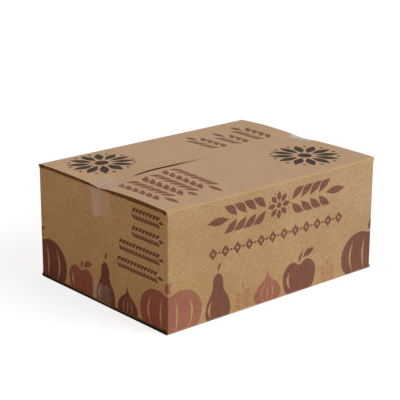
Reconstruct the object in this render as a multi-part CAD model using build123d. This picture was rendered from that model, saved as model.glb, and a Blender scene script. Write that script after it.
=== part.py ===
from build123d import *
import os

# A regular slotted shipping carton, closed and taped. One corrugated blank is folded into
# four walls, four outer flaps on the long walls and four inner flaps on the end walls.
# X runs along the long walls, Y across the carton and Z up from the surface it stands on.
# All sizes are in millimetres.

# Overall size of the folded carton
carton_length = 430.0  # over the ends of the outer flaps
carton_width = 317.0  # over the two long walls
carton_height = 188.0  # from the underside of the board to the top folds

# Corrugated board
board = 4.0  # thickness of the sheet
liner = 0.4  # each paper face of the sheet
flute_recess = 1.6  # how far the fluting stands back on an edge cut along the flutes
fold_radius = 1.8  # outside radius of a scored fold
ply_gap = 0.3  # air where one flap lies on another

# Flaps, slots and the glued corner
flap_overhang = 1.3  # outer flaps past the end walls
inner_flap_reach = 156.0  # inner flaps, from the outside of the end wall
slot_width = 5.0  # slot between an inner flap and a long wall
slot_depth = 0.8  # how far the slot cuts down past the bend of the inner flap
glue_tab_width = 35.0
glue_tab_bevel = 12.0  # each end of the tab is cut back by this much
joint_setback = 3.5  # raw edge of the end wall, from the outside of the long wall

# Seam between the two top flaps, which spring up between the tapes
seam_gap = 0.8  # between the flaps under the tape, and all along the underside
lift_place_share = 0.1  # of the free seam, from the left tape, where the flaps have come up
lift_gap = 1.0  # between the flaps there
lift_front_rise = 3.2
lift_back_rise = 4.4
gape_place_share = 0.29  # of the free seam, where the back flap stands highest over the front one
gape_gap = 1.2  # between the flaps there
gape_front_rise = 4.6
gape_back_rise = 6.2
shut_place_share = 0.54  # of the free seam, where both flaps are level again
shut_gap = 0.4  # between the flaps there
shut_front_rise = 4.9
shut_back_rise = 4.9

# Clear packing tape
tape_width = 48.0
tape_thickness = 0.1
top_tape_reach = 38.0  # along the top, from the ends of the flaps
top_tape_drop = 53.0  # down the end wall, from the top
torn_end_width = 30.0  # the torn end of a top tape is narrower
torn_end_slant = 12.0  # one corner of the torn end hangs lower than the other
torn_length = 30.0  # the tape narrows over this much of its end
bottom_tape_rise = 33.0  # up the end walls, from the underside
tape_bridge = 9.0  # height over which a tape leans from a flap back to the wall

cut_overrun = 10.0  # how far a cutting block runs past what it cuts

# Places that the pieces share
flap_end = carton_length / 2
wall_end = flap_end - flap_overhang
wall_side = carton_width / 2
underside = tape_thickness
top = underside + carton_height
inner_top = top - board - ply_gap
inner_bottom = underside + board + ply_gap
flap_root = wall_side - board - fold_radius
tube_top = inner_top - fold_radius - slot_depth
tube_bottom = inner_bottom + fold_radius + slot_depth
held = flap_end - top_tape_reach
free_seam = 2 * held


def slab(x_span, y_span, z_span):
    """A block between two places along each axis."""
    size = [span[1] - span[0] for span in (x_span, y_span, z_span)]
    corner = (x_span[0], y_span[0], z_span[0])
    return Pos(corner) * Box(*size, align=(Align.MIN, Align.MIN, Align.MIN))


def field(u_span, v_span):
    """A flat rectangle between two places along each axis of its plane."""
    centre = ((u_span[0] + u_span[1]) / 2, (v_span[0] + v_span[1]) / 2)
    return Pos(centre) * Rectangle(u_span[1] - u_span[0], v_span[1] - v_span[0])


def flap_underside(foot, crease):
    """Height of the inner face of a flap, turned in at the crease of a wall that has its foot elsewhere."""
    return crease + board if foot > crease else crease - board


def fold_section(face, flap_tip, foot, crease):
    """The fold of a wall and the flap turned in there, rounded outside. The wall goes on to its foot."""
    section = field((face, face + board), sorted((foot, crease)))
    section += field((face, flap_tip), sorted((crease, flap_underside(foot, crease))))
    bend = section.vertices().sort_by_distance((face, crease))[0]
    return fillet(bend, fold_radius)


def plan_outline():
    """Outside of the four walls from above: three folds, and a stepped corner where the blank is glued."""
    outline = field((-wall_end, wall_end), (-wall_side, wall_side))
    step_x = (wall_end - board, wall_end + cut_overrun)
    step_y = (wall_side - joint_setback, wall_side + cut_overrun)
    outline -= field(step_x, step_y)
    fold_places = [(-wall_end, -wall_side), (wall_end, -wall_side), (-wall_end, wall_side)]
    fold_places.append((wall_end - board, wall_side))
    folds = [outline.vertices().sort_by_distance(place)[0] for place in fold_places]
    return fillet(folds, fold_radius)


def wall_tube():
    """The four walls between the slots that separate the flaps."""
    hollow = field((board - wall_end, wall_end - board), (board - wall_side, wall_side - board))
    return Pos(0, 0, tube_bottom) * extrude(plan_outline() - hollow, amount=tube_top - tube_bottom)


def outer_folds():
    """Folds of the outer flaps, as long as the flaps, and the rims of the long walls under them."""
    folds = []
    for foot, crease in ((tube_top, top), (tube_bottom, underside)):
        inner_face = flap_underside(foot, crease)
        section = Plane.YZ * fold_section(-wall_side, -flap_root, inner_face, crease)
        front = extrude(section, amount=flap_end, both=True)
        folds += [front, mirror(front, about=Plane.XZ)]
        rim = sorted((foot, inner_face))
        folds.append(slab((-wall_end, wall_end), (-wall_side, board - wall_side), rim))
        folds.append(slab((-wall_end, wall_end - board), (wall_side - board, wall_side), rim))
    return folds


def inner_flaps():
    """Folds of the end walls with the inner flaps that they carry."""
    flaps = []
    half_width = wall_side - board - slot_width
    for foot, crease in ((tube_top, inner_top), (tube_bottom, inner_bottom)):
        section = fold_section(-wall_end, inner_flap_reach - wall_end, foot, crease)
        left = extrude(Plane.XZ * section, amount=half_width, both=True)
        flaps += [left, mirror(left, about=Plane.YZ)]
    return flaps


def glue_tab():
    """The tab of the back wall, glued behind the right end wall, with bevelled ends."""
    low = inner_bottom + board + ply_gap
    high = inner_top - board - ply_gap
    root = wall_side - board
    tip = root - glue_tab_width
    corners = [(root, low), (tip, low + glue_tab_bevel), (tip, high - glue_tab_bevel), (root, high)]
    outline = make_face(Polyline(*corners, close=True))
    return Pos(wall_end - board, 0, 0) * extrude(Plane.YZ * outline, amount=-board)


def bottom_flaps():
    """The two outer flaps of the underside, flat and meeting along the middle."""
    x_span = (-flap_end, flap_end)
    z_span = (underside, underside + board)
    front = slab(x_span, (-flap_root, -seam_gap / 2), z_span)
    return [front, mirror(front, about=Plane.XZ)]


def seam_edge(side):
    """Free edge of a top flap: level under each tape, and sprung up between them."""
    lift_rise = lift_front_rise if side < 0 else lift_back_rise
    gape_rise = gape_front_rise if side < 0 else gape_back_rise
    shut_rise = shut_front_rise if side < 0 else shut_back_rise
    places = [
        (0, seam_gap, 0),
        (lift_place_share, lift_gap, lift_rise),
        (gape_place_share, gape_gap, gape_rise),
        (shut_place_share, shut_gap, shut_rise),
        (1, seam_gap, 0),
    ]
    points = [(share * free_seam - held, side * gap / 2, top + rise) for share, gap, rise in places]
    level = (1, 0, 0)
    return Spline(*points, tangents=[level, level])


def top_flap(side):
    """A top flap. Its flutes stay straight, so it is ruled from the fold to its sprung edge."""
    root = side * flap_root
    fold_line = Line((-held, root, top), (held, root, top))
    sheet = Face.make_surface_from_curves(fold_line.edge(), seam_edge(side).edge())
    sprung = Solid.extrude(sheet, (0, 0, -board))
    y_span = sorted((root, side * seam_gap / 2))
    left_strip = slab((-flap_end, -held), y_span, (top - board, top))
    right_strip = slab((held, flap_end), y_span, (top - board, top))
    return [sprung, left_strip, right_strip]


def flute_grooves():
    """Open fluting on the cut ends of the outer flaps, between the two liners."""
    grooves = []
    y_span = (fold_radius - wall_side, wall_side - fold_radius)
    for flap_top in (top, underside + board):
        for end in (-flap_end, flap_end):
            x_span = (end - flute_recess, end + flute_recess)
            z_span = (flap_top - board + liner, flap_top - liner)
            grooves.append(slab(x_span, y_span, z_span))
    return grooves


def carton():
    """The whole blank as one folded sheet."""
    pieces = outer_folds() + inner_flaps() + bottom_flaps() + top_flap(-1) + top_flap(1)
    sheet = wall_tube().fuse(glue_tab(), *pieces)
    return sheet.cut(*flute_grooves())


def tape_band(path):
    """A strip of tape whose sticky side follows a path seen from the front of the carton."""
    strip = offset(Polyline(*path), amount=tape_thickness, kind=Kind.INTERSECTION, side=Side.LEFT)
    return extrude(Plane.XZ * make_face(strip), amount=tape_width / 2, both=True)


def torn_end_trim():
    """What is torn away from the lower end of the left top tape, seen from the end."""
    low = top - top_tape_drop
    half = tape_width / 2
    tip = torn_end_width / 2
    kept = [(half, low + torn_length), (tip, low), (-tip, low + torn_end_slant), (-half, low + torn_length)]
    kept_outline = make_face(Polyline(*kept, close=True))
    whole = field((-half - cut_overrun, half + cut_overrun), (low - cut_overrun, low + torn_length))
    torn_away = Plane.YZ * (whole - kept_outline)
    return Pos(-wall_end, 0, 0) * extrude(torn_away, amount=cut_overrun, both=True)


def top_tape():
    """The left top tape: along the seam, over the flap ends and down the end wall to a torn end."""
    path = [
        (top_tape_reach - flap_end, top),
        (-flap_end, top),
        (-flap_end, top - board),
        (-wall_end, top - board - tape_bridge),
        (-wall_end, top - top_tape_drop),
    ]
    return tape_band(path[::-1]) - torn_end_trim()


def bottom_tape():
    """The tape along the underside, turned up both end walls."""
    right = [
        (flap_end, underside),
        (flap_end, underside + board),
        (wall_end, underside + board + tape_bridge),
        (wall_end, underside + bottom_tape_rise),
    ]
    left = [(-x, z) for x, z in right]
    return tape_band(right[::-1] + left)


left_tape = top_tape()
nodes = {
    "carton": carton(),
    "top_tape_left": left_tape,
    "top_tape_right": mirror(left_tape, about=Plane.YZ),
    "bottom_tape": bottom_tape(),
}

os.makedirs("parts", exist_ok=True)
for name, shape in nodes.items():
    export_step(shape, "parts/" + name + ".step")
    box = shape.bounding_box()
    print(name, len(shape.solids()), "solid", round(shape.volume), "mm3", box.min, box.max)
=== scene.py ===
# %% [markdown]
# # A taped kraft carton
# The carton's exact shape comes from the imported frame, in metres, standing on z = 0 with the
# long printed wall facing -Y. Every piece made below is placed from that frame, so nothing has
# to be fitted by eye. The frame's own box is read first.

# %% Load the frame
import math

import bmesh
import bpy
from mathutils import Matrix, Quaternion, Vector, noise


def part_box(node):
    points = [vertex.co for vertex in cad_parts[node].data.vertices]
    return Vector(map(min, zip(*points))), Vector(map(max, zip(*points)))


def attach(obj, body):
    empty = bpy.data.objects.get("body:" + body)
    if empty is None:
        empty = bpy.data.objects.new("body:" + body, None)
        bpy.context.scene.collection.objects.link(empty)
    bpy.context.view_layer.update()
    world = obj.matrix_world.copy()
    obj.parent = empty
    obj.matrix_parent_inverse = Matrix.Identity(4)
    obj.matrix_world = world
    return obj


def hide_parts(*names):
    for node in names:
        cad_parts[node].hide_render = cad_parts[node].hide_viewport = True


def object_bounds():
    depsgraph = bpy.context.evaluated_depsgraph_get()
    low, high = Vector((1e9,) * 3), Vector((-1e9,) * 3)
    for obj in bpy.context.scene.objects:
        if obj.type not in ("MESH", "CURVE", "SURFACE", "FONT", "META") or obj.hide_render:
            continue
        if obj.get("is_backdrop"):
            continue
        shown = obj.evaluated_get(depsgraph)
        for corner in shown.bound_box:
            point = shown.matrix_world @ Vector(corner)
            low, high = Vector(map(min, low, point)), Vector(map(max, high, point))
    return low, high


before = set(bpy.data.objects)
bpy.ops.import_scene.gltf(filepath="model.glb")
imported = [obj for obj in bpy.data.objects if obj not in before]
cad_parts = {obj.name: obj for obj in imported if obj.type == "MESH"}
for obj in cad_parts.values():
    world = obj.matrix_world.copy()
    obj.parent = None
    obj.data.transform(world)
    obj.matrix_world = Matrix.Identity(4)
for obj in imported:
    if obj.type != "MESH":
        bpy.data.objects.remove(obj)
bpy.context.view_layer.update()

MM = 0.001

# %% [markdown]
# ## Places on the carton
# A carton is a sheet of 4 mm corrugated board. Its outer flaps stick out a little past the end
# walls, and the tape follows that step. The outer limits are read from the frame, and only the
# few sizes that no box can give are written down here.

# %% Read the places that the pieces share
BOARD = 4 * MM
FLAP_OVERHANG = 1.3 * MM
FILM = 0.1 * MM
INK = 0.04 * MM
TINY = 0.02 * MM

carton_low, carton_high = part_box("carton")
tape_low, tape_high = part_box("top_tape_left")
bottom_tape_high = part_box("bottom_tape")[1]
flap_end = carton_high.x
wall_end = flap_end - FLAP_OVERHANG
wall_side = carton_high.y - INK - TINY
top = tape_high.z - FILM
underside = carton_low.z
tape_half = tape_high.y
print("walls at", round(wall_end / MM, 2), round(wall_side / MM, 2), "flaps from", round(top / MM, 2))

# %% [markdown]
# ## The camera
# A long lens a little over two metres away keeps the upright edges nearly parallel, as a
# product photograph does. The place of the camera is written as an angle round the carton, an
# angle above the table and a distance, because those three are easy to read and to change. It
# is then shifted a little and tilted by a fraction of a degree, as a camera on a stand often is.

# %% Place the camera
CAMERA_TURN = math.radians(-40.893)
CAMERA_RISE = math.radians(17.84)
CAMERA_TILT = math.radians(0.188)
CAMERA_DISTANCE = 2139.6 * MM
CAMERA_ASIDE = -12.47 * MM
CAMERA_LIFT = 26.51 * MM
LENS = 120

forward = Vector((
    -math.sin(CAMERA_TURN) * math.cos(CAMERA_RISE),
    math.cos(CAMERA_TURN) * math.cos(CAMERA_RISE),
    -math.sin(CAMERA_RISE),
))
right = Vector((math.cos(CAMERA_TURN), math.sin(CAMERA_TURN), 0))
up = right.cross(forward)
tilt = Quaternion((0, 0, 1), CAMERA_TILT)
bpy.ops.object.select_all(action="DESELECT")
bpy.ops.object.camera_add()
camera = bpy.context.object
camera.location = Vector((0, 0, top / 2)) - forward * CAMERA_DISTANCE
camera.location += right * CAMERA_ASIDE + up * CAMERA_LIFT
camera.rotation_mode = "QUATERNION"
camera.rotation_quaternion = forward.to_track_quat("-Z", "Y") @ tilt
camera.data.lens = LENS
bpy.context.scene.camera = camera
print("camera at", [round(value, 3) for value in camera.location])

# %% [markdown]
# ## The board
# The blank is one folded sheet, and the frame already has its folds, slots and open cut ends.
# It could be shown as it is, but packing left marks: where the tape was pulled over the ends of
# the seam, the flaps are pressed into a dent, and beside it their ends have bowed up. So the
# mesh is copied, its stored normals are cleared and its loose triangles merged. The facets of
# each sprung flap are dissolved into one face, which can then be cut anew.

# %% Copy the board and merge its facets
MERGE = 0.002 * MM
STEEP = 0.5


def only(piece):
    """Makes one object the active one, with nothing else selected."""
    bpy.ops.object.select_all(action="DESELECT")
    piece.select_set(True)
    bpy.context.view_layer.objects.active = piece


def lay_out(name, data):
    """Puts a mesh or a curve in the scene as an object of its own, and selects only that."""
    piece = bpy.data.objects.new(name, data)
    bpy.context.collection.objects.link(piece)
    only(piece)
    return piece


def select_faces(piece, wanted):
    """In edit mode, selects the faces that a test of centre and normal picks, and counts them."""
    shape = bmesh.from_edit_mesh(piece.data)
    picked = 0
    for face in shape.faces:
        choice = wanted(face.calc_center_median(), face.normal)
        face.select_set(choice)
        picked += choice
    bmesh.update_edit_mesh(piece.data)
    return picked


def on_sprung_flap(centre, normal):
    """Whether a face lies on the upper paper of a flap that has come up."""
    return centre.z > top + TINY and normal.z > STEEP


carton_board = lay_out("carton_board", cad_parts["carton"].data.copy())
bpy.ops.mesh.customdata_custom_splitnormals_clear()
bpy.ops.object.mode_set(mode="EDIT")
bpy.ops.mesh.select_all(action="SELECT")
bpy.ops.mesh.remove_doubles(threshold=MERGE)
facets = select_faces(carton_board, on_sprung_flap)
bpy.ops.mesh.dissolve_faces()
print("facets of the sprung flaps:", facets)

# %% [markdown]
# ## A net for the marks
# A dent needs points that can move, and a large face has none in its middle. Subdividing would
# put them anywhere, so the top is bisected into an even net, closer where the dents go. Each cut
# across a flap is a straight line from its fold to the seam, just as its flutes lie. In the end
# all is made triangles again, so that the ink can copy them exactly.

# %% Cut the net
CRUSH_REACH = 28 * MM
NET = 11 * MM
NET_ALONG = 4 * MM
NET_ACROSS = 3 * MM
BEND_CUTS = (0, 1 * MM)
LENGTHWISE = (1, 0, 0)
CROSSWISE = (0, 1, 0)
UPWARDS = (0, 0, 1)


def of_top_flaps(centre, normal):
    """Whether a face belongs to the top flaps."""
    return centre.z > top - BOARD - TINY


def of_long_walls(centre, normal):
    """Whether a face belongs to a long wall or to the folds above and below it."""
    return abs(centre.y) > carton_high.y - BOARD - TINY


def cut_net(wanted, way, distance):
    """Cuts the faces that a test picks along a plane that looks one way, at a distance."""
    select_faces(carton_board, wanted)
    bpy.ops.mesh.bisect(plane_co=Vector(way) * distance, plane_no=way)


for step in range(int(CRUSH_REACH / NET_ALONG) + 1):
    for end in (-1, 1):
        cut_net(of_top_flaps, LENGTHWISE, end * (flap_end - CRUSH_REACH + step * NET_ALONG))
lines = int((flap_end - CRUSH_REACH) / NET)
for step in range(-lines, lines + 1):
    cut_net(of_top_flaps, LENGTHWISE, step * NET)
lines = int(tape_half / NET_ACROSS)
for step in range(-lines, lines + 1):
    cut_net(of_top_flaps, CROSSWISE, step * NET_ACROSS)
for step in range(1, int((wall_side - tape_half) / NET) + 1):
    for side in (-1, 1):
        cut_net(of_top_flaps, CROSSWISE, side * (tape_half + step * NET))
for depth in BEND_CUTS:
    for side in (-1, 1):
        cut_net(of_top_flaps, CROSSWISE, side * (carton_high.y - BOARD + depth))
    cut_net(of_long_walls, UPWARDS, top - BOARD + depth)
bpy.ops.mesh.select_all(action="SELECT")
bpy.ops.mesh.quads_convert_to_tris()
bpy.ops.object.mode_set(mode="OBJECT")
print("board net:", len(carton_board.data.polygons), "faces")

# %% [markdown]
# ## Full folds
# Folded board keeps its thickness, so the outer paper goes round a crease in an arc as wide as
# the board is thick. The frame has a tighter rounding there. A bevel would leave the small arc
# behind, so each point of the corner is drawn towards the inside of the fold, by as much as
# brings the outer paper onto the full arc. The open ends of the flutes come along.

# %% Round the two top folds
FRAME_ROUNDING = 1.8 * MM


def drawn_in(across, high):
    """Scale, from the inside of a fold, that brings its outer paper onto the full arc."""
    reach = math.hypot(across, high)
    straight = BOARD - FRAME_ROUNDING
    if min(across, high) < max(across, high) * straight / BOARD:
        return max(across, high) / reach
    middle = straight * (across + high) / reach
    return BOARD / (middle + math.sqrt(middle ** 2 - 2 * straight ** 2 + FRAME_ROUNDING ** 2))


bent = 0
for vertex in carton_board.data.vertices:
    across = abs(vertex.co.y) - carton_high.y + BOARD
    high = vertex.co.z - top + BOARD
    if min(across, high) > MERGE:
        scale = drawn_in(across, high)
        vertex.co.y = math.copysign(carton_high.y - BOARD + across * scale, vertex.co.y)
        vertex.co.z = top - BOARD + high * scale
        bent += 1
print("points drawn onto the folds:", bent)

# %% [markdown]
# ## The dents and the bows
# A dent is deepest at the very end of the seam and fades towards the edges of the tape and into
# the flap. The upper paper is pressed in and the fluting squeezed, while the lower paper rests on
# the inner flap. The left dent is a sharp V and the right one a shallow trough. Beside the tapes
# the ends of the flaps have bowed up as whole boards. Small functions give both at any place, so
# the tape can follow the same dent later.

# %% Press the dents in and bow the flaps
LINER = 0.4 * MM
CRUSH_DEPTH = 3 * MM
CRUSH_POWER = 1.5
TROUGH_DEPTH = 1.7 * MM
TROUGH_HALF = 31 * MM
BOW_REACH = 90 * MM
BOW_RISE = {(-1, -1): 2.2 * MM, (-1, 1): 1.1 * MM, (1, -1): 0.8 * MM, (1, 1): 2.3 * MM}


def limited(share):
    """A share, kept between 0 and 1."""
    return min(1, max(0, share))


def crush(x, y):
    """How far the top is pressed down at a place, in a V on the left and a trough on the right."""
    along = max(0, 1 - (flap_end - abs(x)) / CRUSH_REACH) ** CRUSH_POWER
    if x < 0:
        return CRUSH_DEPTH * max(0, 1 - abs(y) / tape_half) * along
    return TROUGH_DEPTH * max(0, 1 - (y / TROUGH_HALF) ** 2) ** 2 * along


def bow(x, y):
    """How far the end of a flap has come up at a place, between the tape and its fold."""
    rise = BOW_RISE[math.copysign(1, x), math.copysign(1, y)]
    across = limited((abs(y) - tape_half) / (wall_side - tape_half))
    along = max(0, 1 - (flap_end - abs(x)) / BOW_REACH)
    return rise * math.sin(math.pi * across) * along ** 2


side_share = wall_side / carton_high.y
for vertex in carton_board.data.vertices:
    x, y, z = vertex.co
    squeezed = (z - top + BOARD - LINER) / (BOARD - 2 * LINER)
    vertex.co.z -= crush(x, y) * limited(squeezed)
    if z > top - BOARD - TINY:
        vertex.co.z += bow(x, y)
    vertex.co.y *= side_share
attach(carton_board, "root")
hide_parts("carton")
print("dents in mm:", [round(crush(end * flap_end, 0) / MM, 2) for end in (-1, 1)])

# %% [markdown]
# ## Raw edges
# A cut end of corrugated board shows its open fluting between two thin papers, dark because
# light hardly gets in. That shade, and the shade in the crease of the inner flap right under it,
# are painted into a second material slot of their own. The faces are found by their place, as one
# would box-select them by hand, and the rounded folds are shaded smooth.

# %% Mark the raw edges
# the second slot holds the dark material, which paints the shade of cut ends, creases and the seam
KRAFT_SLOT, RAW_OR_SHADE_SLOT = 0, 1
FLUTE_RECESS = 1.6 * MM
SEAM_REACH = 3 * MM
SMOOTH_ANGLE = math.radians(35)


def raw_edge_or_shade(centre, normal):
    """Whether a face gets painted shade: a cut end of the outer flaps, the crease under it, or the
    seam.
    """
    at_end = abs(centre.x) > flap_end - FLUTE_RECESS - TINY
    depth = min(top - centre.z, centre.z - underside)
    outward = math.copysign(normal.z, normal.z * (centre.z - top / 2))
    in_groove = outward < -STEEP or (outward > STEEP and depth > BOARD - 2 * LINER)
    on_cut = at_end and depth < BOARD + TINY and (abs(normal.x) > STEEP or in_groove)
    over_wall = abs(centre.x) > wall_end - BOARD
    # the crease of the inner flap under the lip is not cut: it gets the dark material as painted shade
    in_crease = over_wall and BOARD < depth < 2 * BOARD and abs(normal.z) > STEEP
    on_seam = abs(centre.y) < SEAM_REACH and abs(normal.y) > abs(normal.z)
    return on_cut or in_crease or on_seam


carton_board.data.materials.clear()
for slot_name in ("kraft_paper", "raw_fluting_and_shade"):
    carton_board.data.materials.append(bpy.data.materials.new(slot_name))
for face in carton_board.data.polygons:
    # cut ends get the dark colour of their fluting with painted shade; creases and the seam get
    # painted shade
    face.material_index = RAW_OR_SHADE_SLOT if raw_edge_or_shade(face.center, face.normal) else KRAFT_SLOT
only(carton_board)
bpy.ops.object.shade_smooth_by_angle(angle=SMOOTH_ANGLE)
raw_count = sum(face.material_index == RAW_OR_SHADE_SLOT for face in carton_board.data.polygons)
print("raw faces:", raw_count)

# %% [markdown]
# ## Packing tape
# A tape is one strip of film. It could be unwrapped from a flat grid, but by hand one would
# extrude it: a row of short edges across the width is pulled out step by step along the top,
# over the flap ends and down the wall. The row has an edge for each millimetre, so the end can
# be cut to the small teeth of a dispenser.

# %% A strip of film pulled along a path
TAPE_EDGES = 48
FILM_SHEET = FILM / 2
TEETH = 1.2 * MM


def in_notch(y):
    """Whether a point across the tape lies in a notch between two teeth."""
    return round((y + tape_half) / (2 * tape_half) * TAPE_EDGES) % 2 == 1


def pull_strip(name, path):
    """Extrudes a row of edges across the tape along points (x, z), with teeth at the first end."""
    bpy.ops.object.select_all(action="DESELECT")
    bpy.ops.mesh.primitive_grid_add(x_subdivisions=1, y_subdivisions=TAPE_EDGES, size=2 * tape_half)
    strip = bpy.context.object
    strip.name = name
    (start_x, start_z), (next_x, next_z) = path[:2]
    for vertex in strip.data.vertices:
        leads = vertex.co.x > 0
        vertex.co.x = next_x if leads else start_x
        vertex.co.z = next_z if leads else start_z
        if in_notch(vertex.co.y) and not leads:
            vertex.co += Vector((next_x - start_x, 0, next_z - start_z)).normalized() * TEETH
    bpy.ops.object.mode_set(mode="EDIT")
    bpy.ops.mesh.select_mode(type="EDGE")
    bpy.ops.mesh.select_all(action="DESELECT")
    shape = bmesh.from_edit_mesh(strip.data)
    for edge in shape.edges:
        gaps = [abs(vertex.co.x - next_x) + abs(vertex.co.z - next_z) for vertex in edge.verts]
        edge.select_set(max(gaps) < TINY)
    bmesh.update_edit_mesh(strip.data)
    for here, there in zip(path[1:], path[2:]):
        stride = (there[0] - here[0], 0, there[1] - here[1])
        bpy.ops.mesh.extrude_region_move(TRANSFORM_OT_translate={"value": stride})
    bpy.ops.mesh.select_mode(type="FACE")
    bpy.ops.object.mode_set(mode="OBJECT")
    return strip


def walk(stops, stride):
    """Points along the straight stretches between some stops, no further apart than a stride."""
    path = [stops[0]]
    for start, finish in zip(map(Vector, stops), map(Vector, stops[1:])):
        count = max(1, math.ceil((finish - start).length / stride))
        path += [tuple(start.lerp(finish, index / count)) for index in range(1, count + 1)]
    return path


print("row of", TAPE_EDGES, "edges over", round(2 * tape_half / MM, 2), "mm of tape")

# %% [markdown]
# ## The two top tapes
# Each top tape lies over an end of the seam, follows the dent, turns down over the open flap
# ends, leans back to the wall and ends in a torn tail that is narrower and slanted. The left
# one is pulled along its path, shaped by moving its points, and given its thickness. The right
# one is pulled along the mirrored path, with a tear of its own.

# %% Lay the top tapes
STRIDE = 3 * MM
TAPE_BRIDGE = 9 * MM
TORN_LENGTH = 30 * MM
TORN_SHARE = 0.625
TORN_SLANT = 12 * MM
TEAR = 2.2 * MM
TEAR_SCALE = 260
RIPPLE = 0.35 * MM
RIPPLE_PITCH = 7 * MM


def top_tape_path(end):
    """Sticky side of a top tape, from its cut end on the flaps to its torn end on the wall."""
    face = flap_end + FILM_SHEET
    wall = wall_end + FILM_SHEET
    level = top + FILM_SHEET
    stops = [
        (tape_high.x, level),
        (-face, level),
        (-face, top - BOARD),
        (-wall, top - BOARD - TAPE_BRIDGE),
        (-wall, tape_low.z),
    ]
    return [(-end * x, z) for x, z in walk(stops, STRIDE)]


def shape_top_tape(tape, end):
    """Follows the dent, raises a few ripples beside it and narrows the torn tail."""
    for vertex in tape.data.vertices:
        x, y, z = vertex.co
        vertex.co.z -= crush(x, y) * limited((z - top + BOARD) / BOARD)
        if z > top and abs(x) < flap_end:
            slack = max(0, 1 - (flap_end - abs(x)) / CRUSH_REACH)
            wave = 1 + math.sin(y / RIPPLE_PITCH * 2 * math.pi)
            vertex.co.z += RIPPLE * slack * (1 - slack) * 2 * wave
        tail = (tape_low.z + TORN_LENGTH - z) / TORN_LENGTH
        if tail > 0:
            vertex.co.y *= 1 - (1 - TORN_SHARE) * tail
            lift = TORN_SLANT * (tape_half - y) / (2 * tape_half)
            lift += TEAR * (1 + noise.noise((y * TEAR_SCALE, end, 0))) / 2
            vertex.co.z += lift * tail ** 2


def finish_film(tape, node):
    """Turns the film face up or out, gives it its thickness and hands it to the frame."""
    only(tape)
    middle = Vector((0, 0, top / 2))
    outward = sum(face.area * face.normal.dot(face.center - middle) for face in tape.data.polygons)
    if outward < 0:
        bpy.ops.object.mode_set(mode="EDIT")
        bpy.ops.mesh.select_all(action="SELECT")
        bpy.ops.mesh.flip_normals()
        bpy.ops.object.mode_set(mode="OBJECT")
    wall = tape.modifiers.new("film", "SOLIDIFY")
    wall.thickness = FILM_SHEET
    wall.offset = 1
    bpy.ops.object.modifier_apply(modifier=wall.name)
    bpy.ops.object.shade_smooth_by_angle(angle=SMOOTH_ANGLE)
    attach(tape, "root")
    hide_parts(node)
    print(tape.name, len(tape.data.polygons), "faces")


tapes = []
for end, node in ((-1, "top_tape_left"), (1, "top_tape_right")):
    tape = pull_strip(node + "_film", top_tape_path(end))
    shape_top_tape(tape, end)
    finish_film(tape, node)
    tapes.append(tape)

# %% [markdown]
# ## The bottom tape
# The bottom is closed by one long strip that runs under the whole carton and turns up both
# ends. It is pulled in the same way, from the right leg to the left one, and its two legs have
# toothed ends, as both were cut on the dispenser.

# %% Lay the bottom tape
UNDER_STRIDE = 12 * MM


def bottom_tape_path():
    """Sticky side of the bottom tape, up one end wall, under the carton and up the other."""
    face = flap_end + FILM_SHEET
    wall = wall_end + FILM_SHEET
    level = underside - FILM_SHEET
    right_leg = [
        (wall, bottom_tape_high.z),
        (wall, underside + BOARD + TAPE_BRIDGE),
        (face, underside + BOARD),
        (face, level),
    ]
    left_leg = [(-x, z) for x, z in right_leg[::-1]]
    return walk(right_leg + left_leg, UNDER_STRIDE)


tape = pull_strip("bottom_tape_film", bottom_tape_path())
for vertex in tape.data.vertices:
    if vertex.co.z > bottom_tape_high.z - TINY and in_notch(vertex.co.y):
        vertex.co.z -= TEETH
finish_film(tape, "bottom_tape")
tapes.append(tape)

# %% [markdown]
# ## A pen for the print
# Print on a carton is thin ink laid on the paper in flat fields. It could be painted in the
# material, but then its edges would blur when the material is baked. So each field is a closed
# outline on a flat curve, which Blender fills and makes a tall block, a cutter for the ink. A
# pen holds the curve and a place on the wall, so one motif can be drawn many times. An outline
# inside another one is left as a hole, where the bare paper shows.

# %% The pen and its strokes
CUTTER = 30 * MM
OUTLINE_STEPS = 5
DISC_POINTS = 8


def drawing(wall, *inks):
    """For each ink of a wall, an empty flat curve that makes its outlines tall blocks."""
    curves = {}
    for ink in inks:
        curves[ink] = bpy.data.curves.new(wall + "_" + ink, "CURVE")
        curves[ink].dimensions = "2D"
        curves[ink].fill_mode = "BOTH"
        curves[ink].extrude = CUTTER / 2
    return curves


class Pen:
    """Draws closed outlines on a flat curve, at a place and a turn of its own, in millimetres."""

    def __init__(self, curve, across, high, turn=0):
        self.curve = curve
        self.place = Matrix.Translation((across * MM, high * MM, 0)) @ Matrix.Rotation(turn, 4, "Z")

    def outline(self, points, corners=()):
        """A closed outline through the points, rounded but for its corners."""
        spline = self.curve.splines.new("BEZIER")
        spline.bezier_points.add(len(points) - 1)
        spline.use_cyclic_u = True
        spline.resolution_u = OUTLINE_STEPS
        for index, (across, high) in enumerate(points):
            knot = spline.bezier_points[index]
            knot.co = self.place @ Vector((across * MM, high * MM, 0))
            kind = "VECTOR" if index in corners else "AUTO"
            knot.handle_left_type = kind
            knot.handle_right_type = kind

    def lens(self, start, end, width, bow=0):
        """A grain with two sharp tips, bowed to its left by a share of its length."""
        along = Vector(end) - Vector(start)
        left = Vector((-along.y, along.x))
        middle = Vector(start) + along / 2 + left * bow
        half = left.normalized() * width / 2
        self.outline([start, middle + half, end, middle - half], corners=(0, 2))

    def disc(self, centre, radius):
        """A round spot."""
        points = []
        for step in range(DISC_POINTS):
            angle = step * 2 * math.pi / DISC_POINTS
            points.append((centre[0] + radius * math.cos(angle), centre[1] + radius * math.sin(angle)))
        self.outline(points)


print("blocks for the motifs:", round(CUTTER / MM), "mm tall")

# %% [markdown]
# ## Ears and rosettes
# Two ornaments come back in several sizes: an ear of wheat and a round flower. Each is a function
# that repeats one grain or petal, with all sizes as shares of its own width, so that it keeps its
# look when it is drawn larger. Drawing every grain by hand would take longer and be less even.

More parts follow.
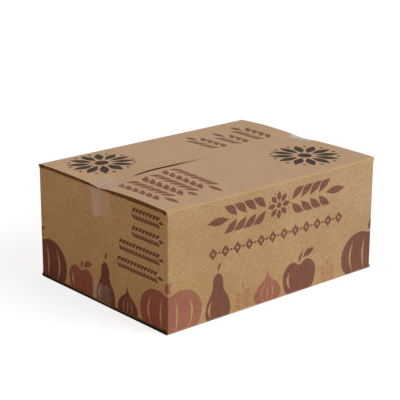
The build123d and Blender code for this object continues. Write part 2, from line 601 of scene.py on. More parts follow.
# %% The ear and the rosette
GRAIN_PITCH_SHARE = 0.46
GRAIN_LENGTH_SHARE = 0.62
GRAIN_WIDTH_SHARE = 0.3
GRAIN_BOW_SHARE = 0.08
STEM_SHARE = 0.06
TIP_SHARE = 0.55
TIP_OVERLAP_SHARE = 0.1
PETAL_FOOT_SHARE = 0.27
PETAL_WIDTH_SHARE = 0.496
DOT_PLACE_SHARE = 0.93
DOT_SHARE = 0.05
HEART_SHARE = 0.2


def ear(pen, length, width):
    """An ear of wheat that points to the right, made of grains with bare paper between them."""
    pitch = GRAIN_PITCH_SHARE * width
    grain = GRAIN_WIDTH_SHARE * width
    pairs = int((length - TIP_SHARE * width) / pitch)
    for pair in range(pairs):
        foot = pair * pitch
        for side in (-1, 1):
            start = (foot, side * STEM_SHARE * width)
            end = (foot + GRAIN_LENGTH_SHARE * width, side * width / 2)
            pen.lens(start, end, grain, bow=side * GRAIN_BOW_SHARE)
    pen.lens((pairs * pitch - TIP_OVERLAP_SHARE * width, 0), (length, 0), grain)


def rosette(pen, size, petals):
    """A round flower of pointed petals about a spot, with a dot between each two petals."""
    radius = size / 2
    petal = 2 * math.pi * radius * PETAL_WIDTH_SHARE / petals
    for index in range(petals):
        angle = 2 * math.pi * index / petals
        way = Vector((math.cos(angle), math.sin(angle)))
        pen.lens(way * radius * PETAL_FOOT_SHARE, way * radius, petal)
        between = angle + math.pi / petals
        dot = Vector((math.cos(between), math.sin(between))) * radius * DOT_PLACE_SHARE
        pen.disc(dot, radius * DOT_SHARE)
    pen.disc((0, 0), radius * HEART_SHARE)


print("an ear has a pair of grains for each", GRAIN_PITCH_SHARE, "of its width")

# %% [markdown]
# ## Fruit and roots
# Large produce stands along the foot of the walls. Each kind is drawn once, as a few outlines
# whose points are shares of its width and height, and then placed in any size. Slits of bare
# paper give the ribs and the shine, the way a cut printing plate does.

# %% Draw the produce
def scaled(points, width, height):
    """Outline points as shares of a width and a height."""
    return [(across * width, high * height) for across, high in points]


def both_sides(right_half):
    """A symmetric outline from the points of its right half, first on the middle line."""
    left_half = [(-across, high) for across, high in right_half[::-1] if across > 0]
    return right_half + left_half


def pumpkin(pen, width, height):
    """A ribbed pumpkin with a short stalk."""
    half = [(0, 0.76), (0.2, 0.82), (0.42, 0.68), (0.5, 0.38), (0.4, 0.08), (0.2, 0), (0, 0.04)]
    pen.outline(scaled(both_sides(half), width, height))
    for side in (-1, 1):
        for reach, bend in ((0.11, 0.06), (0.3, 0.13)):
            start, end = scaled([(side * reach, 0.71), (side * reach, 0.08)], width, height)
            pen.lens(start, end, 0.03 * width, bow=side * bend)
    stalk = [(-0.04, 0.82), (0.05, 0.82), (0.03, 0.92), (0.08, 1), (-0.02, 1), (-0.05, 0.92)]
    pen.outline(scaled(stalk, width, height), corners=(0, 1, 3, 4))


def apple(pen, width, height):
    """An apple with a shine, a stalk and a leaf."""
    half = [(0, 0.7), (0.2, 0.79), (0.45, 0.66), (0.5, 0.4), (0.36, 0.1), (0.14, 0), (0, 0.04)]
    pen.outline(scaled(both_sides(half), width, height))
    start, end = scaled([(-0.32, 0.6), (-0.27, 0.2)], width, height)
    pen.lens(start, end, 0.07 * width, bow=-0.14)
    start, end = scaled([(0, 0.74), (0.1, 0.98)], width, height)
    pen.lens(start, end, 0.08 * width, bow=0.1)
    start, end = scaled([(0.1, 0.84), (0.46, 0.98)], width, height)
    pen.lens(start, end, 0.16 * width, bow=0.06)


def pear(pen, width, height):
    """A pear with a shine and a stalk."""
    half = [(0, 0.86), (0.15, 0.8), (0.22, 0.58), (0.44, 0.34), (0.45, 0.13), (0.26, 0), (0, 0.02)]
    pen.outline(scaled(both_sides(half), width, height))
    start, end = scaled([(-0.22, 0.42), (-0.28, 0.12)], width, height)
    pen.lens(start, end, 0.09 * width, bow=-0.16)
    start, end = scaled([(0, 0.89), (0.12, 1.04)], width, height)
    pen.lens(start, end, 0.09 * width, bow=0.1)


def onion(pen, width, height):
    """An onion with a pointed top and three slits."""
    half = [(0, 1), (0.07, 0.76), (0.33, 0.58), (0.5, 0.33), (0.34, 0.08), (0.1, 0), (0, 0)]
    pen.outline(scaled(both_sides(half), width, height), corners=(0,))
    for side in (-1, 1):
        start, end = scaled([(side * 0.07, 0.66), (side * 0.08, 0.07)], width, height)
        pen.lens(start, end, 0.04 * width, bow=side * 0.2)
    start, end = scaled([(0, 0.6), (0, 0.1)], width, height)
    pen.lens(start, end, 0.04 * width)


def sprig(pen, width, height):
    """A stem with three pairs of leaves and one at its tip."""
    stem = scaled([(-0.04, 0), (0.04, 0), (0.04, 0.74), (-0.04, 0.74)], width, height)
    pen.outline(stem, corners=range(4))
    for foot in (0.14, 0.34, 0.54):
        for side in (-1, 1):
            start, end = scaled([(side * 0.1, foot), (side * 0.5, foot + 0.24)], width, height)
            pen.lens(start, end, 0.14 * height, bow=side * 0.1)
    pen.lens(*scaled([(0, 0.78), (0, 1)], width, height), 0.14 * height)


PRODUCE = {"pumpkin": pumpkin, "apple": apple, "pear": pear, "onion": onion, "sprig": sprig}
print("kinds of produce:", list(PRODUCE))

# %% [markdown]
# ## The print of the long walls
# The long walls carry a garland of two ears about a rosette and a row of lozenges under it.
# Produce stands along the foot, a little below the bottom edge, which cuts it off. A pumpkin
# sits astride each fold. It could be bent round the corner, but it is simply drawn on both
# walls, with its middle on the fold. The sizes are in millimetres, as the pen takes them.

# %% Draw the long walls
SUNK = 7
LEFT_PUMPKIN = (128, 86, "light")
RIGHT_PUMPKIN = (136, 92, "dark")
LONG_ROW = [
    ("pumpkin", -wall_end / MM, *LEFT_PUMPKIN),
    ("pear", -118, 52, 92, "dark"),
    ("sprig", -68, 34, 52, "faint"),
    ("onion", -17, 56, 64, "light"),
    ("apple", 51, 70, 74, "dark"),
    ("sprig", 114, 32, 46, "faint"),
    ("pumpkin", wall_end / MM, *RIGHT_PUMPKIN),
]
GARLAND_HIGH, GARLAND_MIDDLE = 152, 4
GARLAND_EAR_FOOT, GARLAND_EAR_LENGTH, GARLAND_EAR_WIDTH = 27, 117, 42
GARLAND_ROSETTE, GARLAND_PETALS = 46, 8
LOZENGE_HIGH, LOZENGE_PITCH, LOZENGES = 104, 24, 12
LOZENGE_HALVES = (8.5, 9.5)
LOZENGE_HOLE_HALVES = (2.6, 3)
LOZENGE_DOT = 2.2


def stand_produce(curves, row):
    """Places the produce of one wall along its bottom edge."""
    for kind, across, width, height, ink in row:
        PRODUCE[kind](Pen(curves[ink], across, -SUNK), width, height)


def lozenge(pen, across, high):
    """A lozenge from half its width and half its height."""
    pen.outline([(-across, 0), (0, high), (across, 0), (0, -high)], corners=range(4))


long_wall = drawing("long_wall", "dark", "light", "faint")
stand_produce(long_wall, LONG_ROW)
for side, turn in ((1, 0), (-1, math.pi)):
    pen = Pen(long_wall["dark"], GARLAND_MIDDLE + side * GARLAND_EAR_FOOT, GARLAND_HIGH, turn)
    ear(pen, GARLAND_EAR_LENGTH, GARLAND_EAR_WIDTH)
rosette(Pen(long_wall["dark"], GARLAND_MIDDLE, GARLAND_HIGH), GARLAND_ROSETTE, GARLAND_PETALS)
for index in range(LOZENGES):
    across = GARLAND_MIDDLE + (index - (LOZENGES - 1) / 2) * LOZENGE_PITCH
    pen = Pen(long_wall["dark"], across, LOZENGE_HIGH)
    lozenge(pen, *LOZENGE_HALVES)
    lozenge(pen, *LOZENGE_HOLE_HALVES)
    if index:
        pen.disc((-LOZENGE_PITCH / 2, 0), LOZENGE_DOT)
print("long wall:", {ink: len(curve.splines) for ink, curve in long_wall.items()})

# %% [markdown]
# ## The print of the end walls
# Beside the right fold of an end wall stand four short ears, one under the other and ending on
# one line. They are placed by a list of heights and lengths, and the produce below them is placed
# by the same function as on the long walls.

# %% Draw the end walls
END_ROW = [
    ("pumpkin", -wall_side / MM, *RIGHT_PUMPKIN),
    ("apple", -52, 64, 66, "light"),
    ("pear", 10, 50, 90, "dark"),
    ("onion", 64, 48, 58, "dark"),
    ("pumpkin", wall_side / MM, *LEFT_PUMPKIN),
]
EAR_RIGHT = 150
EAR_WIDTH = 17
EAR_ROWS = [(166.6, 73), (138.6, 74), (110.6, 105), (82.5, 110)]

end_wall = drawing("end_wall", "dark", "light")
stand_produce(end_wall, END_ROW)
for high, length in EAR_ROWS:
    ear(Pen(end_wall["dark"], EAR_RIGHT - length, high), length, EAR_WIDTH)
print("end wall:", {ink: len(curve.splines) for ink, curve in end_wall.items()})

# %% [markdown]
# ## The print of the top
# Each top flap carries three ears that point away from the seam, and one large black rosette.
# The two flaps are like each other turned half round, with small differences, so that each is
# read from its own side of the carton. A turn of the pen does that without a second motif.

# %% Draw the top
FRONT_EARS = [(-176, -10, 130), (-134, -14, 116), (-92, -10, 130)]
BACK_EARS = [(62, 36, 92), (113, 38, 84), (163, 36, 92)]
FRONT_EAR_WIDTH, BACK_EAR_WIDTH = 35, 36
TOP_ROSETTES = [(-141, 92, 112), (136, -80, 116)]
TOP_PETALS = 12

top_side = drawing("top_side", "dark", "black")
for ears, width, turn in (
    (FRONT_EARS, FRONT_EAR_WIDTH, -math.pi / 2),
    (BACK_EARS, BACK_EAR_WIDTH, math.pi / 2),
):
    for across, start, length in ears:
        ear(Pen(top_side["dark"], across, start, turn), length, width)
for across, high, size in TOP_ROSETTES:
    rosette(Pen(top_side["black"], across, high), size, TOP_PETALS)
print("top:", {ink: len(curve.splines) for ink, curve in top_side.items()})

# %% [markdown]
# ## From outline to ink
# Ink lies on the paper wherever the paper goes: over the sprung flaps and round the folds. Flat
# plates would float or sink there. So it is cut out of the board's own skin. The faces that look
# one way are copied and thickened by the ink, and a boolean keeps only what lies inside the tall
# blocks of the motifs. A fold is shared out at 45 degrees between the two sides that it joins.

# %% Cut the ink out of the skin
INK_SHEET = INK + TINY
SKIN_DEPTH = 3 * MM
UPRIGHT = Matrix.Rotation(math.pi / 2, 4, "X")
FRONT = Matrix.Translation((0, -wall_side, 0)) @ UPRIGHT
LEFT = Matrix.Rotation(-math.pi / 2, 4, "Z") @ Matrix.Translation((0, -wall_end, 0)) @ UPRIGHT
HALF_TURN = Matrix.Rotation(math.pi, 4, "Z")
LONG_SHARE, END_SHARE = 0.7, 0.71
SIDES = [
    (FRONT, LONG_SHARE, long_wall), (HALF_TURN @ FRONT, LONG_SHARE, long_wall),
    (LEFT, END_SHARE, end_wall), (HALF_TURN @ LEFT, END_SHARE, end_wall),
    (Matrix.Translation((0, 0, top)), END_SHARE, top_side),
]


def cutter_from(curve, stand):
    """A closed mesh of the tall outlines, stood up on its side of the carton."""
    lay_out(curve.name, curve)
    bpy.ops.object.convert(target="MESH")
    piece = bpy.context.object
    bpy.ops.object.mode_set(mode="EDIT")
    bpy.ops.mesh.select_all(action="SELECT")
    bpy.ops.mesh.remove_doubles(threshold=MERGE)
    bpy.ops.mesh.normals_make_consistent(inside=False)
    bpy.ops.object.mode_set(mode="OBJECT")
    piece.matrix_world = stand
    bpy.ops.object.transform_apply(location=True, rotation=True, scale=True)
    return piece


def ink_on(stand, share, curve):
    """Ink on the side that a drawing is stood up on, out to where the folds turn away from it."""
    outward = stand.to_3x3() @ Vector((0, 0, 1))
    level = outward.dot(stand.translation) - SKIN_DEPTH

    def elsewhere(centre, normal):
        printed = normal.dot(outward) > share and centre.dot(outward) > level
        return not printed or raw_edge_or_shade(centre, normal)

    skin = lay_out(curve.name + "_ink", carton_board.data.copy())
    bpy.ops.object.mode_set(mode="EDIT")
    bpy.ops.mesh.select_mode(type="FACE")
    select_faces(skin, elsewhere)
    bpy.ops.mesh.delete(type="FACE")
    bpy.ops.object.mode_set(mode="OBJECT")
    thick = skin.modifiers.new("ink", "SOLIDIFY")
    thick.thickness = INK_SHEET
    thick.offset = (INK - TINY) / INK_SHEET
    bpy.ops.object.modifier_apply(modifier=thick.name)
    cutter = cutter_from(curve, stand)
    only(skin)
    cut = skin.modifiers.new("motif", "BOOLEAN")
    cut.operation = "INTERSECT"
    cut.solver = "EXACT"
    cut.object = cutter
    bpy.ops.object.modifier_apply(modifier=cut.name)
    bpy.data.objects.remove(cutter)
    return skin


plates = {"dark": [], "light": [], "faint": [], "black": []}
for stand, share, curves in SIDES:
    for ink, curve in curves.items():
        plates[ink].append(ink_on(stand, share, curve))
print("plates:", {ink: len(pieces) for ink, pieces in plates.items()})

# %% [markdown]
# ## One piece for each ink
# Everything that one printing plate lays down is one piece. The parts of an ink could stay apart,
# but they share a finish, so they are joined, and each ink gets a material of its own.

# %% Join the plates of each ink
def join_plates(ink, pieces):
    """Joins the plates of an ink and gives them a material of that ink."""
    bpy.ops.object.select_all(action="DESELECT")
    for piece in pieces:
        piece.select_set(True)
    bpy.context.view_layer.objects.active = pieces[0]
    if len(pieces) > 1:
        bpy.ops.object.join()
    printed = bpy.context.object
    printed.name = "print_" + ink
    bpy.ops.object.shade_smooth_by_angle(angle=SMOOTH_ANGLE)
    printed.data.materials.clear()
    printed.data.materials.append(bpy.data.materials.new(ink + "_ink"))
    for face in printed.data.polygons:
        face.material_index = 0
    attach(printed, "root")
    print(printed.name, len(printed.data.polygons), "faces")
    return printed.data.materials[0]


ink_materials = {ink: join_plates(ink, pieces) for ink, pieces in plates.items()}

# %% [markdown]
# ## Shader maths
# A procedural finish is a small sum of noises and distances. Written as node by node calls it
# is hard to read, so one class wraps a socket. Plus, minus and times on it add Math nodes, and
# `node` adds any other node from its type, its settings and its inputs.

# %% A socket that can be used in a sum
class Wire:
    """A shader socket with arithmetic."""

    def __init__(self, tree, socket=None):
        self.tree = tree
        self.socket = socket

    def node(self, kind, settings=None, inputs=None, output=0):
        """Adds a node, sets it up, feeds its inputs, and returns one of its outputs."""
        made = self.tree.nodes.new("ShaderNode" + kind)
        for name, value in (settings or {}).items():
            setattr(made, name, value)
        for key, value in (inputs or {}).items():
            if isinstance(value, Wire):
                self.tree.links.new(value.socket, made.inputs[key])
            else:
                made.inputs[key].default_value = value
        return Wire(self.tree, made.outputs[output])

    def math(self, operation, *values):
        """Adds a Math node."""
        return self.node("Math", {"operation": operation}, dict(enumerate(values)))

    def __add__(self, other):
        return self.math("ADD", self, other)

    def __radd__(self, other):
        return self.math("ADD", other, self)

    def __sub__(self, other):
        return self.math("SUBTRACT", self, other)

    def __rsub__(self, other):
        return self.math("SUBTRACT", other, self)

    def __mul__(self, other):
        return self.math("MULTIPLY", self, other)

    def __rmul__(self, other):
        return self.math("MULTIPLY", other, self)

    def __abs__(self):
        return self.math("ABSOLUTE", self)

    def rise(self, low, high):
        """0 below low, 1 above high and a smooth slope between them."""
        limits = {"Value": self, "From Min": low, "From Max": high}
        return self.node("MapRange", {"interpolation_type": "SMOOTHSTEP"}, limits)

    def blend(self, first, second, kind="MIX"):
        """A colour between two others, with this socket as the factor."""
        settings = {"data_type": "RGBA", "blend_type": kind}
        return self.node("Mix", settings, {0: self, 6: first, 7: second}, output=2)

    def feed(self, shader, name):
        """Links this socket to an input of a shader."""
        self.tree.links.new(self.socket, shader.inputs[name])


def open_material(material):
    """The shader of a fresh material and a wire to start its sums from."""
    material.use_nodes = True
    return material.node_tree.nodes["Principled BSDF"], Wire(material.node_tree)


print("inks that wait for a finish:", list(ink_materials))

# %% [markdown]
# ## Places and noise
# What a finish looks like depends on the place: by a fold, on a wall or on the top. A UV map
# could tell, but it would break at the folds. Object coordinates run on over them, as every piece
# sits at the origin. Three helpers give the place, draw it out along an axis and look up a noise.

# %% Places and noise for a finish
def place_on_carton(wire):
    """The place on the carton as a vector, and its three lengths from the middle of the base."""
    place = wire.node("TexCoord", output="Object")
    return place, *(place.node("SeparateXYZ", {}, {0: place}, output=axis) for axis in range(3))


def stretched(place, *scales):
    """A place scaled along each axis, to draw a noise out."""
    return place.node("VectorMath", {"operation": "MULTIPLY"}, {0: place, 1: scales})


def noise_at(place, scale, detail, roughness=0.5):
    """Cloudy noise about 0.5, with so many clouds to the metre."""
    inputs = {"Vector": place, "Scale": scale, "Detail": detail, "Roughness": roughness}
    return place.node("TexNoise", {}, inputs)


print("finishes are measured over", [round(side / MM) for side in carton_high - carton_low], "mm")

# %% [markdown]
# ## Kraft paper
# Unbleached paper is a felt of brown fibres: cloudy over a hand's width, flecked over a
# millimetre, with a few dark chips. The fluting inside shows through as faint stripes, upright
# on every wall. The folds are rubbed paler and carry a painted highlight. Painted light makes the
# long walls paler and bluer towards one upper corner, painted shade makes the end walls warmer,
# and a painted sheen makes the top paler. An image could hold all that, but it would have to be
# wrapped round the carton. Here it is worked out from the place on the carton, so the pattern
# runs on over folds, and the ink can share it.

# %% The pattern of the paper
FELT_STRETCH = (1, 1, 2.4)
CLOUD_SCALE, FIBRE_SCALE, CHIP_SCALE, STRIPE_SCALE, RUB_SCALE = 16, 330, 620, 38, 90
FLUTE_PITCH = 7.6 * MM
END_BAND = (wall_end - 0.6 * MM, wall_end - 0.3 * MM)
END_RIM = (top - 2 * MM, top - MM)
TOP_BAND = (top - 3.6 * MM, top - 3 * MM)
FOLD_BAND = (wall_side - 3.2 * MM, wall_side - 1.6 * MM)
# how far from a fold the rubbing and its painted highlight reach
RUB_AND_HIGHLIGHT_BAND = (0.8 * MM, 3 * MM)
UPRIGHT_SPARED, RIM_SPARED = 1.6 * MM, 0.4 * MM
CREASE_REACH_SHARE, LEVEL_REACH_SHARE = 0.65, 1.8
# the slope of the painted light on the long walls
LIGHT_SLOPE_ALONG, LIGHT_SLOPE_UP, LIGHT_SLOPE_START = 0.33 / flap_end, 0.54 / top, 0.23


def distance_to_fold(wire, x, y, z):
    """Distance to the nearest fold or rim, which hands and other cartons rub and which gets a painted
    highlight.
    """
    upright = wire.math("MAXIMUM", wall_end - abs(x), wall_side - abs(y))
    crease = wire.math("MINIMUM", top - z, z - underside) * CREASE_REACH_SHARE
    level = wire.math("MAXIMUM", (wall_side - abs(y)) * LEVEL_REACH_SHARE, crease)
    rim = wire.math("MAXIMUM", flap_end - abs(x), top - z)
    fold = wire.math("MINIMUM", upright + UPRIGHT_SPARED, level)
    return wire.math("MINIMUM", fold, rim + RIM_SPARED)


def paper_pattern(wire):
    """Clouds, fibres, chips, flute stripes, rubbed and highlighted folds, painted light and sides, 0
    to 1.
    """
    place, x, y, z = place_on_carton(wire)
    felt = stretched(place, *FELT_STRETCH)
    pattern = {}
    pattern["clouds"] = noise_at(place, CLOUD_SCALE, 3)
    pattern["fibres"] = noise_at(felt, FIBRE_SCALE, 5, 0.7)
    pattern["chips"] = noise_at(felt, CHIP_SCALE, 2).rise(0.66, 0.76)
    pattern["end"] = abs(x).rise(*END_BAND) * (1 - z.rise(*END_RIM))
    along = x + pattern["end"] * (y - x)
    stripes = wire.math("SINE", along * (2 * math.pi / FLUTE_PITCH))
    pattern["flutes"] = (stripes * 0.5 + 0.5) * noise_at(place, STRIPE_SCALE, 2).rise(0.3, 0.7)
    rub = noise_at(place, RUB_SCALE, 4, 0.6).rise(0.25, 0.55)
    # rubbed folds, with a painted highlight along them
    pattern["rubbed"] = (1 - distance_to_fold(wire, x, y, z).rise(*RUB_AND_HIGHLIGHT_BAND)) * rub
    pattern["top"] = z.rise(*TOP_BAND) * (1 - abs(y).rise(*FOLD_BAND))
    # painted light: the long walls get paler and bluer towards one upper corner
    fade = (x * LIGHT_SLOPE_ALONG + z * LIGHT_SLOPE_UP + LIGHT_SLOPE_START).rise(0, 1)
    pattern["faded"] = fade * (1 - pattern["top"])
    return pattern


print("flutes:", round(2 * wall_side / FLUTE_PITCH), "stripes on an end wall")

# %% [markdown]
# ## The look of the paper
# Kraft paper is dull and slightly ridged. Its colour is built up as a painter would: a brown
# ground, darker and paler fibres, chips, the shade of the flutes, then the rubbed folds and the
# painted light, shade and sheen of each side. One Bump node gives the ridges, because real ones
# would be too fine to model.

# %% Kraft paper
BUMP_STRENGTH, BUMP_DISTANCE = 0.25, 0.6 * MM
PAPER_GLOSS = 0.08
GROUND_DARK = (0.404, 0.234, 0.097, 1)
GROUND_PALE = (0.475, 0.286, 0.127, 1)
FIBRE_DARK = (0.324, 0.175, 0.0715, 1)
FIBRE_PALE = (0.64, 0.423, 0.23, 1)
CHIP_BROWN = (0.15, 0.08, 0.03, 1)
FLUTE_SHADE = (0.31, 0.173, 0.0735, 1)
# painted light for the long walls
WALL_PAINTED_LIGHT = (1.1, 1.14, 1.31, 1)
# painted shade: the end walls are made warmer
END_PAINTED_SHADE_WARMTH = (1.08, 1, 0.93, 1)
# painted sheen of the top
TOP_PAINTED_SHEEN = (0.58, 0.372, 0.25, 1)
# rubbed paper and painted highlight of the folds
RUBBED_PALE_AND_HIGHLIGHT = (0.6, 0.4, 0.22, 1)


def paper_surface(wire, shader, pattern):
    """The dull, slightly ridged surface that paper and ink share."""
    relief = pattern["fibres"] * 0.5 + pattern["flutes"] * 0.8 + pattern["clouds"] * 0.3
    settings = {"Strength": BUMP_STRENGTH, "Distance": BUMP_DISTANCE, "Height": relief}
    wire.node("Bump", {}, settings).feed(shader, "Normal")
    (pattern["fibres"] * 0.2 + 0.6).feed(shader, "Roughness")
    shader.inputs["Specular IOR Level"].default_value = PAPER_GLOSS


def paper_colour(pattern):
    """Brown paper with its painted light and shade, before any ink."""
    base = pattern["clouds"].rise(0.3, 0.7).blend(GROUND_DARK, GROUND_PALE)
    base = pattern["fibres"].rise(0.32, 0.64).blend(FIBRE_DARK, base)
    base = (pattern["fibres"].rise(0.54, 0.74) * 0.6).blend(base, FIBRE_PALE)
    base = (pattern["chips"] * 0.5).blend(base, CHIP_BROWN)
    base = (pattern["flutes"] * 0.2).blend(base, FLUTE_SHADE)
    # painted light on the long walls
    base = (pattern["faded"] * (1 - pattern["end"])).blend(base, WALL_PAINTED_LIGHT, "MULTIPLY")
    # painted shade on the end walls
    base = pattern["end"].blend(base, END_PAINTED_SHADE_WARMTH, "MULTIPLY")
    # painted sheen: the top is made paler
    base = (pattern["top"] * 0.55).blend(base, TOP_PAINTED_SHEEN)
    # the folds are rubbed paler and carry a painted highlight
    return (pattern["rubbed"] * 0.35).blend(base, RUBBED_PALE_AND_HIGHLIGHT)


kraft_material = carton_board.data.materials[KRAFT_SLOT]
shader, wire = open_material(kraft_material)
pattern = paper_pattern(wire)
paper_colour(pattern).feed(shader, "Base Color")
paper_surface(wire, shader, pattern)
print("kraft paper:", len(kraft_material.node_tree.nodes), "nodes")

# %% [markdown]
# ## Raw fluting
# Inside a cut end the paper is rougher, in torn short bands along the cut, and it is in its own
# shade, which is painted into its dark colour. Along the seam the two flaps shade each other, most
# of all where it is agape, and the cut ends by the floor are nearly black. Light alone would give
# that only with deep, fine fluting, so this shade is painted into the colour, and so is the shade in
# the crease under the outer flaps.

# %% Raw fluting
BAND_STRETCH = (1, 0.6, 1.6)
BAND_SCALE = 420
# the raw colours hold painted shade in the open fluting; the seam and floor colours paint the shade
# there
RAW_DARK = (0.12, 0.046, 0.007, 1)
RAW_PALE = (0.26, 0.12, 0.028, 1)
SEAM_SHUT = (0.42, 0.26, 0.14, 1)
SEAM_AGAPE = (0.03, 0.012, 0.002, 1)
BY_FLOOR = (0.012, 0.007, 0.004, 1)
SEAM_BAND = (2 * MM, 4 * MM)
SEAM_RISE = (top - MM, top)
AGAPE_FROM = (-154 * MM, -140 * MM)
AGAPE_UNTIL = (-60 * MM, 0)
FLOOR_BAND = (5 * MM, 8 * MM)
RAW_BUMP_STRENGTH, RAW_BUMP_DISTANCE = 0.5, 0.5 * MM
RAW_ROUGHNESS, RAW_GLOSS = 0.9, 0.05

raw_and_shade_material = carton_board.data.materials[RAW_OR_SHADE_SLOT]
shader, wire = open_material(raw_and_shade_material)
place, x, y, z = place_on_carton(wire)
bands = noise_at(stretched(place, *BAND_STRETCH), BAND_SCALE, 4, 0.7)
torn = bands.rise(0.35, 0.7).blend(RAW_DARK, RAW_PALE)
in_seam = (1 - abs(y).rise(*SEAM_BAND)) * z.rise(*SEAM_RISE)
agape = x.rise(*AGAPE_FROM) * (1 - x.rise(*AGAPE_UNTIL))
# painted shade in the seam: nearly black where it is agape, near the paper's colour where it is shut
raw = in_seam.blend(torn, agape.blend(SEAM_SHUT, SEAM_AGAPE))
by_floor = 1 - z.rise(*FLOOR_BAND)
# painted shade: the cut ends by the floor are made nearly black
(by_floor * 0.8).blend(raw, BY_FLOOR).feed(shader, "Base Color")
settings = {"Strength": RAW_BUMP_STRENGTH, "Distance": RAW_BUMP_DISTANCE, "Height": bands}
wire.node("Bump", {}, settings).feed(shader, "Normal")
shader.inputs["Roughness"].default_value = RAW_ROUGHNESS
shader.inputs["Specular IOR Level"].default_value = RAW_GLOSS
print("raw fluting:", len(raw_and_shade_material.node_tree.nodes), "nodes")

# %% [markdown]
# ## Ink
# Water-based ink sinks into the paper, so the fibres, the flute stripes and the rubbed folds with
# their painted highlight show through it. A plain colour would look like a sticker. So the ink's
# colour is the paper's colour multiplied by a tint, a little thinner where the paper stands back
# from the printing plate. On the end walls the ink is darkened by painted shade, and on the top
# part of the painted sheen is taken back out under it.

# %% Four inks
TINTS = {
    "dark": (0.45, 0.285, 0.4, 1),
    "light": (0.76, 0.49, 0.66, 1),
    "faint": (0.95, 0.74, 0.77, 1),
    "black": (0.09, 0.09, 0.12, 1),
}
# painted shade that darkens the ink on the end walls, and a tint that takes part of the top's painted
# sheen back out
END_INK_PAINTED_SHADE = (0.76, 0.6, 0.66, 1)
TOP_INK_LESS_SHEEN = (0.97, 1, 0.84, 1)

for ink, tint in TINTS.items():
    shader, wire = open_material(ink_materials[ink])
    pattern = paper_pattern(wire)
    paper = paper_colour(pattern)
    cover = 1 - pattern["fibres"].rise(0.55, 0.8) * 0.25 - pattern["rubbed"] * 0.4
    printed = cover.blend(paper, tint, "MULTIPLY")
    # painted shade on the ink of the end walls
    printed = pattern["end"].blend(printed, END_INK_PAINTED_SHADE, "MULTIPLY")
    # under ink, part of the top's painted sheen is taken back out
    pattern["top"].blend(printed, TOP_INK_LESS_SHEEN, "MULTIPLY").feed(shader, "Base Color")
    paper_surface(wire, shader, pattern)
print("inks:", list(TINTS))

# %% [markdown]
# ## Clear film
# Packing tape is clear, but it lies on paper with tiny air spots, so it shows as a faint pale
# veil. A glass shader would take many bounces of light, so Alpha keeps most of the board in
# sight instead. More film shows in long smears where air was trapped as the tape was pulled on,
# and over the dents. A narrow streak along each tape and a patch over the right tape's dent are
# painted highlights. The film is painted paler on the walls and underneath than on the top, as
# painted light, and its veil is fainter low down. Over the dark cut ends there is hardly any.

# %% Clear film
PULL_STRETCH = (0.16, 1, 0.16)
SMEAR_SCALE, POCKET_SCALE, WAVE_SCALE = 110, 55, 40
STREAK_PLACE = 15 * MM
STREAK_BAND = (1.5 * MM, 4 * MM)
SLACK_BAND = (flap_end - 34 * MM, flap_end - 12 * MM)
GLEAM_BAND = (flap_end - 18 * MM, flap_end - 6 * MM)
FLAT_BAND = (top - BOARD, top - 3 * MM)
CUT_END_BAND = (flap_end - TINY, flap_end + 2 * TINY)
LOW_BAND = (35 * MM, 60 * MM)
VEIL, SMEAR_VEIL, STREAK_VEIL, POCKET_VEIL, GLEAM_VEIL = 0.105, 0.05, 0.04, 0.1, 0.1
WALL_FILM = (0.84, 0.56, 0.46, 1)
TOP_FILM = (0.6, 0.45, 0.33, 1)
SMEARED_FILM = (0.95, 0.85, 0.8, 1)
GLEAMING_FILM = (0.9, 0.85, 0.82, 1)
FILM_BUMP_STRENGTH, FILM_BUMP_DISTANCE = 0.1, 1 * MM
FILM_ROUGHNESS = 0.35

film_material = bpy.data.materials.new("clear_film")
shader, wire = open_material(film_material)
place, x, y, z = place_on_carton(wire)
smears = noise_at(stretched(place, *PULL_STRETCH), SMEAR_SCALE, 2).rise(0.42, 0.7)
# a painted highlight: a narrow streak along each tape
streak = 1 - abs(y - STREAK_PLACE).rise(*STREAK_BAND)
lies_flat = z.rise(*FLAT_BAND)
slack = abs(x).rise(*SLACK_BAND) * lies_flat
# a painted highlight on the right tape, over its dent
gleam = x.rise(*GLEAM_BAND) * lies_flat
pockets = noise_at(place, POCKET_SCALE, 1).rise(0.45, 0.62)
on_cut_end = abs(x).rise(*CUT_END_BAND)
lean = 0.6 + y.rise(-tape_half, tape_half) * 0.6
# the veil is fainter low down
fainter_below = 0.65 + z.rise(*LOW_BAND) * 0.35
veil = VEIL + smears * SMEAR_VEIL + streak * STREAK_VEIL
veil = veil + slack * pockets * POCKET_VEIL + gleam * GLEAM_VEIL
(veil * lean * fainter_below * (1 - on_cut_end * 0.8)).feed(shader, "Alpha")
# painted light: the film is paler on the walls and underneath than on the top
colour = lies_flat.blend(WALL_FILM, TOP_FILM)
colour = (smears * 0.3).blend(colour, SMEARED_FILM)
gleam.blend(colour, GLEAMING_FILM).feed(shader, "Base Color")
waves = noise_at(place, WAVE_SCALE, 1)
settings = {"Strength": FILM_BUMP_STRENGTH, "Distance": FILM_BUMP_DISTANCE, "Height": waves}
wire.node("Bump", {}, settings).feed(shader, "Normal")
shader.inputs["Roughness"].default_value = FILM_ROUGHNESS
for tape in tapes:
    tape.data.materials.clear()
    tape.data.materials.append(film_material)
print("clear film:", len(film_material.node_tree.nodes), "nodes")

# %% [markdown]
# ## Floor and sky
# The carton stands on a plain white floor under an even sky that fills the shade. A floor lit
# white by lamps alone would throw much light back onto the carton. So it looks white by a little
# glow that only the camera, glossy and clear surfaces see: it lights nothing, and keeps the soft
# shadow.

# %% Floor and sky
AMBIENT = (0.52, 0.49, 0.445, 1)
WHITE = (1, 1, 1, 1)
FLOOR_TINT = 0.8
FLOOR_GLOW = 0.78
FLOOR_SHADE = 0.3
FLOOR_SIZE = 12


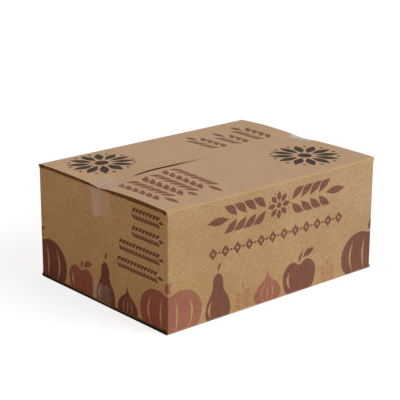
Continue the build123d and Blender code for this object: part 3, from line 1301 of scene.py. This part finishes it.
def seen_by_camera(wire):
    """1 for rays that show the background: straight to the camera, mirrored or through film."""
    names = ("Is Camera Ray", "Is Glossy Ray", "Is Transmission Ray")
    straight, mirrored, through = [wire.node("LightPath", output=name) for name in names]
    return wire.math("MAXIMUM", wire.math("MAXIMUM", straight, mirrored), through)


bpy.ops.object.select_all(action="DESELECT")
bpy.ops.mesh.primitive_plane_add(size=FLOOR_SIZE)
floor = bpy.context.object
floor.name = "floor"
floor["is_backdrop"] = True
floor_material = bpy.data.materials.new("white_floor")
floor.data.materials.append(floor_material)
shader, wire = open_material(floor_material)
shader.inputs["Roughness"].default_value = 1
shader.inputs["Specular IOR Level"].default_value = 0
shader.inputs["Emission Strength"].default_value = 1
seen = seen_by_camera(wire)
(FLOOR_TINT - seen * (FLOOR_TINT - FLOOR_SHADE)).feed(shader, "Base Color")
(seen * FLOOR_GLOW).feed(shader, "Emission Color")

sky = bpy.data.worlds.new("studio_sky")
bpy.context.scene.world = sky
sky.use_nodes = True
wire = Wire(sky.node_tree)
seen_by_camera(wire).blend(AMBIENT, WHITE).feed(sky.node_tree.nodes["Background"], "Color")
print("floor of", FLOOR_SIZE, "m")

# %% [markdown]
# ## Key light
# In a studio a broad soft lamp at the front right makes the long wall the brightest side. A large
# area lamp would do, but then its light would fall off along the carton, so it is a sun with a
# wide angle.

# %% Key light
KEY_FROM = Vector((0.35, -0.75, 0.55))
KEY_STRENGTH = 1.95
KEY_COLOUR = (1, 1.14, 1.3)
KEY_SOFTNESS = math.radians(35)

bpy.ops.object.light_add(type="SUN")
key = bpy.context.object
key.data.energy = KEY_STRENGTH
key.data.color = KEY_COLOUR
key.data.angle = KEY_SOFTNESS
key.rotation_mode = "QUATERNION"
key.rotation_quaternion = KEY_FROM.to_track_quat("Z", "Y")
bpy.context.scene.view_settings.view_transform = "Standard"
print("key light from", tuple(round(value, 2) for value in KEY_FROM))

# %% [markdown]
# ## Size
# The box of everything that shows is printed, in millimetres.

# %% Print the box of everything that shows
low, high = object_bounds()
print("visual box in mm:", [round(side / MM, 2) for side in high - low])
